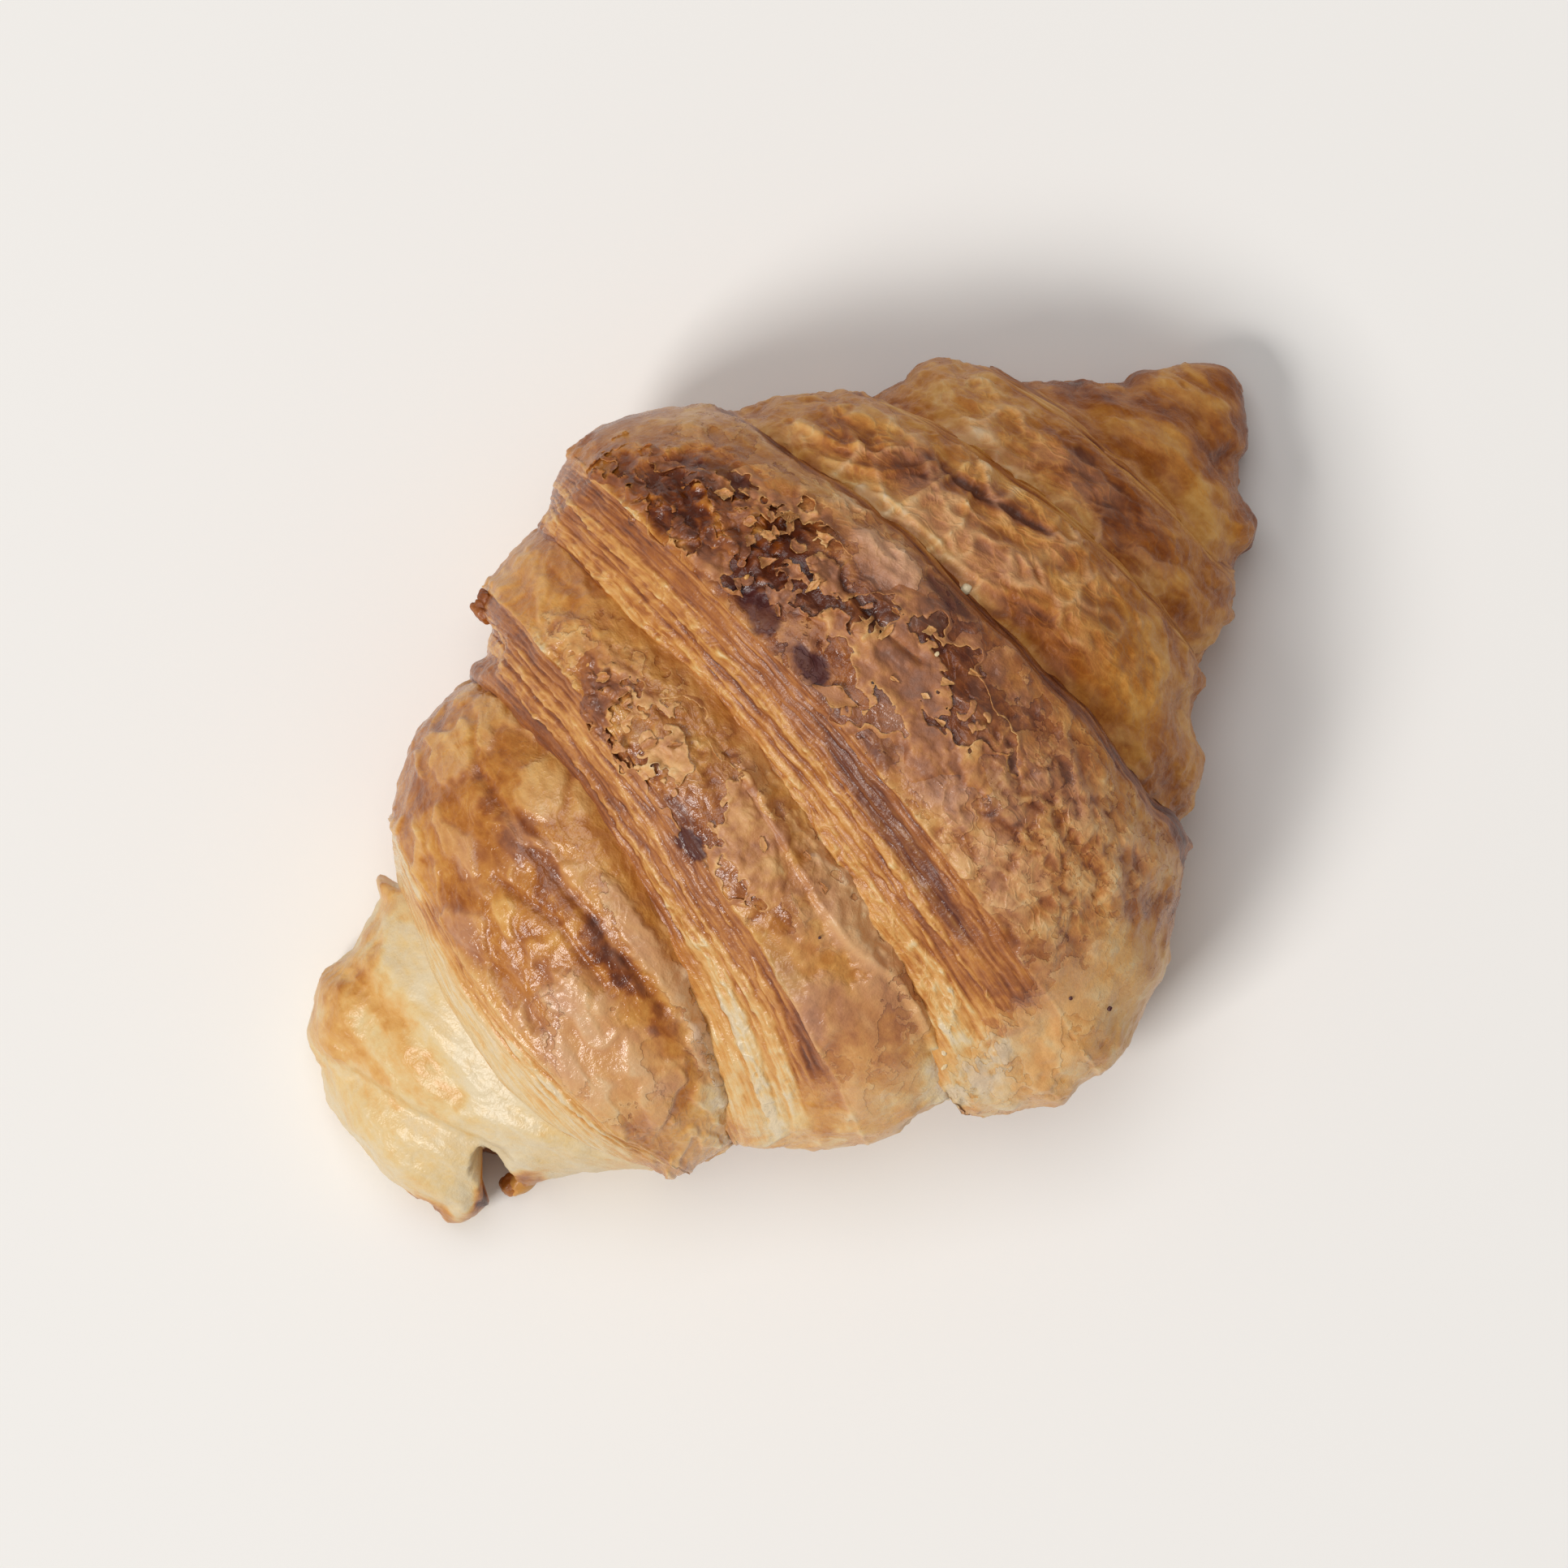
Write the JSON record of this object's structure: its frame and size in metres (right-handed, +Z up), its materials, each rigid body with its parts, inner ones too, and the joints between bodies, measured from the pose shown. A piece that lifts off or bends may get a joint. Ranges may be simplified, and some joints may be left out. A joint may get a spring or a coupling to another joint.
{
  "type": "croissant",
  "caption": "Baked croissant of rolled laminated dough: overlapping turns with flaky browned crust, one pale torn tip, and a flat underside it rests on.",
  "frame": {"origin": "middle of the underside, under the middle of the bounding box", "axes": "+X along the roll towards the neat closed tip, +Y across it towards the side with the small dark knob, +Z up from the underside"},
  "size_m": [0.157, 0.1084, 0.0566],
  "materials": {
    "crust": "Egg-washed flaky pastry crust: golden to dark brown on the crown, cream at the cut layers and the pale tip, soft satin gloss."
  },
  "bodies": {
    "root": {"croissant": "crust"}
  },
  "joints": []
}
